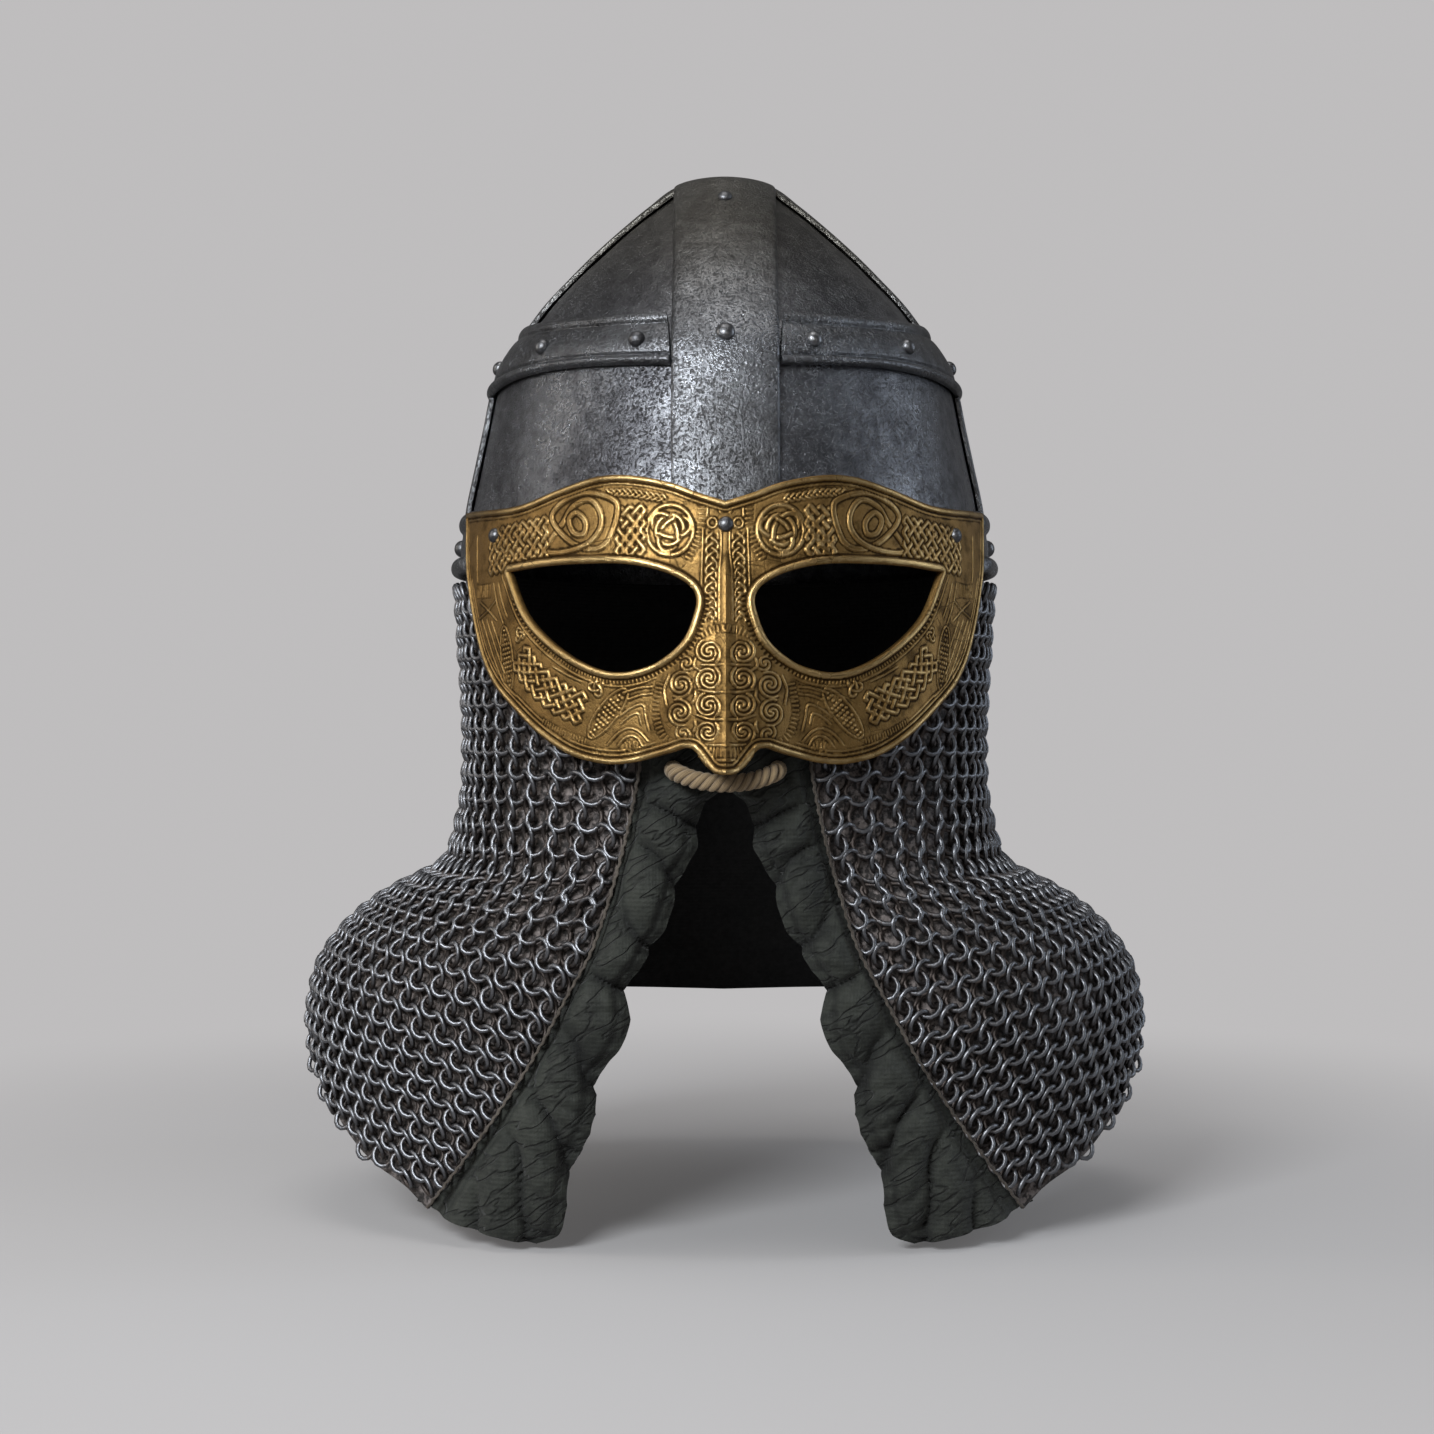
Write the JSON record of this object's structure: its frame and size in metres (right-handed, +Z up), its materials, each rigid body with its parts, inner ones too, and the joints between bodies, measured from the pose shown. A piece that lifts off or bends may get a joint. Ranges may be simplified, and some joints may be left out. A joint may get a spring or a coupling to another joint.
{
  "type": "viking helmet with mail curtain",
  "caption": "Riveted steel spectacle helm with a brass relief mask, a mail curtain open at the front, a leather lining with ruffled flaps and a rope tie.",
  "frame": {"origin": "inside of the crown, where the helm sits on a head", "axes": "+Z up, the mask faces -Y, +X to the right in the picture's view"},
  "size_m": [0.3312, 0.281, 0.4044],
  "materials": {
    "skull_steel": "dark forged steel, finely pitted, satin",
    "band_steel": "dark forged steel bands, satin with bright edges",
    "rivet_steel": "polished steel rivet heads, a little worn",
    "brass": "cast brass, aged in the recesses and polished on the high places",
    "mail_steel": "browned steel rings with bright wear",
    "lining_leather": "dark grey-green, creased, matt",
    "piping_leather": "dark brown strip, matt",
    "rope_fibre": "tan twisted fibre, matt"
  },
  "bodies": {
    "root": {"apex_stud": "rivet_steel", "brow_band": "band_steel", "crown_band": "band_steel", "lining": "lining_leather", "lining_flap_left": "lining_leather", "lining_flap_right": "lining_leather", "mail_curtain": "mail_steel", "mail_edge_left": "piping_leather", "mail_edge_right": "piping_leather", "middle_band_left": "band_steel", "middle_band_right": "band_steel", "rivet_brow_1": "rivet_steel", "rivet_brow_2": "rivet_steel", "rivet_brow_3": "rivet_steel", "rivet_brow_4": "rivet_steel", "rivet_brow_5": "rivet_steel", "rivet_crown_back_1": "rivet_steel", "rivet_crown_back_2": "rivet_steel", "rivet_crown_front_1": "rivet_steel", "rivet_crown_front_2": "rivet_steel", "rivet_mask_left": "rivet_steel", "rivet_mask_middle": "rivet_steel", "rivet_mask_right": "rivet_steel", "rivet_middle_left_1": "rivet_steel", "rivet_middle_left_2": "rivet_steel", "rivet_middle_left_3": "rivet_steel", "rivet_middle_left_4": "rivet_steel", "rivet_middle_left_5": "rivet_steel", "rivet_middle_right_1": "rivet_steel", "rivet_middle_right_2": "rivet_steel", "rivet_middle_right_3": "rivet_steel", "rivet_middle_right_4": "rivet_steel", "rivet_middle_right_5": "rivet_steel", "rope_tie": "rope_fibre", "side_band_lower_left": "band_steel", "side_band_lower_right": "band_steel", "side_band_upper_left": "band_steel", "side_band_upper_right": "band_steel", "skull_plate_back_left": "skull_steel", "skull_plate_back_right": "skull_steel", "skull_plate_front_left": "skull_steel", "skull_plate_front_right": "skull_steel", "spectacle_mask": "brass"}
  },
  "joints": []
}
